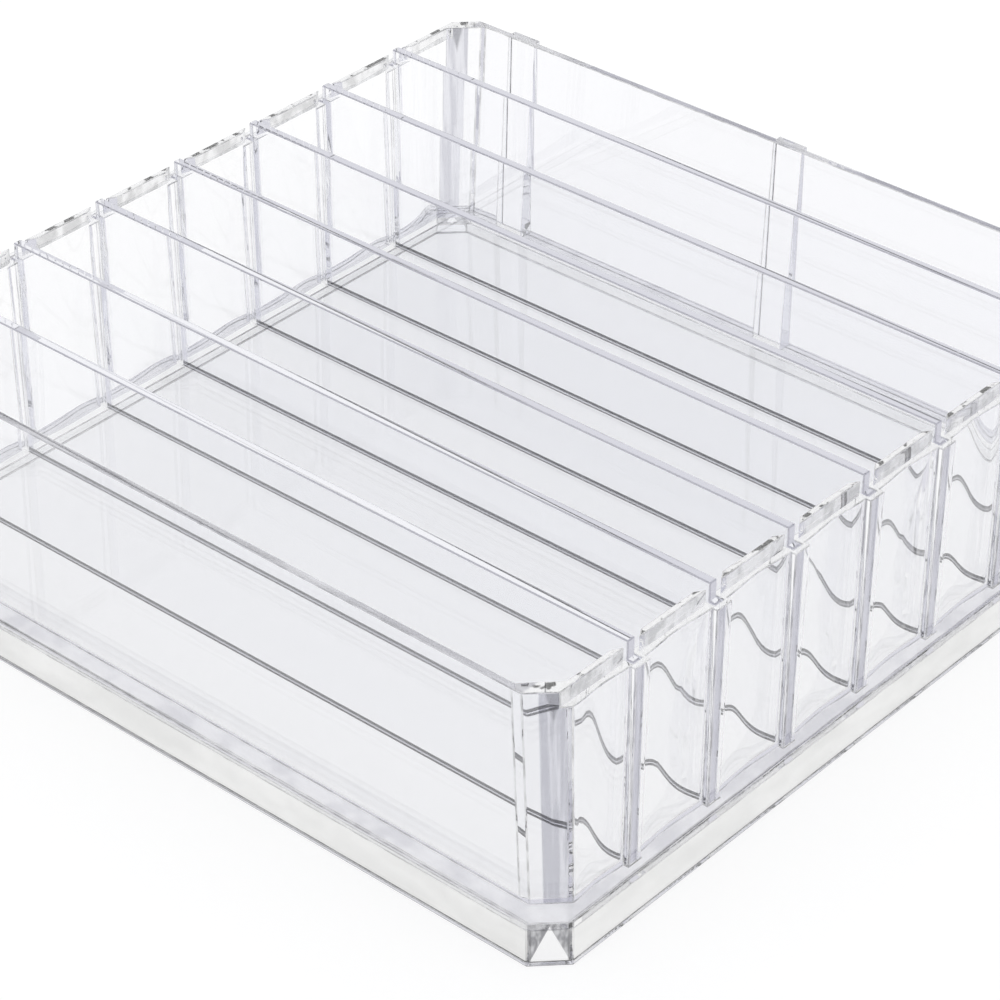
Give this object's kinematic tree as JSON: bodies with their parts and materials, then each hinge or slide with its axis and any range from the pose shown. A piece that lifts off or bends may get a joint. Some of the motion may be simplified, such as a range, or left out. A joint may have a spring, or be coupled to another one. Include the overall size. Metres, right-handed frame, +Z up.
{
  "type": "vanity organizer",
  "caption": "Clear moulded vanity tray with lift-out dividers standing in end channels, for keeping palettes and compacts upright.",
  "frame": {"origin": "middle of the tray's footprint, on the surface that it stands on", "axes": "+X across the dividers towards the ribbed back wall, +Y along the dividers, +Z up"},
  "size_m": [0.25, 0.252, 0.076],
  "materials": {
    "tray_clear": "polished, clear",
    "divider_clear": "polished, clear"
  },
  "bodies": {
    "tray": {"tray": "tray_clear"},
    "divider_1": {"divider_1": "divider_clear"},
    "divider_2": {"divider_2": "divider_clear"},
    "divider_3": {"divider_3": "divider_clear"},
    "divider_4": {"divider_4": "divider_clear"},
    "divider_5": {"divider_5": "divider_clear"},
    "divider_6": {"divider_6": "divider_clear"},
    "divider_7": {"divider_7": "divider_clear"}
  },
  "joints": [
    {"name": "divider_1_lift", "type": "slide", "parent": "tray", "child": "divider_1", "axis": [0, 0, 1], "range_m": [0, 0.066]},
    {"name": "divider_2_lift", "type": "slide", "parent": "tray", "child": "divider_2", "axis": [0, 0, 1], "range_m": [0, 0.066]},
    {"name": "divider_3_lift", "type": "slide", "parent": "tray", "child": "divider_3", "axis": [0, 0, 1], "range_m": [0, 0.066]},
    {"name": "divider_4_lift", "type": "slide", "parent": "tray", "child": "divider_4", "axis": [0, 0, 1], "range_m": [0, 0.066]},
    {"name": "divider_5_lift", "type": "slide", "parent": "tray", "child": "divider_5", "axis": [0, 0, 1], "range_m": [0, 0.066]},
    {"name": "divider_6_lift", "type": "slide", "parent": "tray", "child": "divider_6", "axis": [0, 0, 1], "range_m": [0, 0.066]},
    {"name": "divider_7_lift", "type": "slide", "parent": "tray", "child": "divider_7", "axis": [0, 0, 1], "range_m": [0, 0.066]}
  ]
}
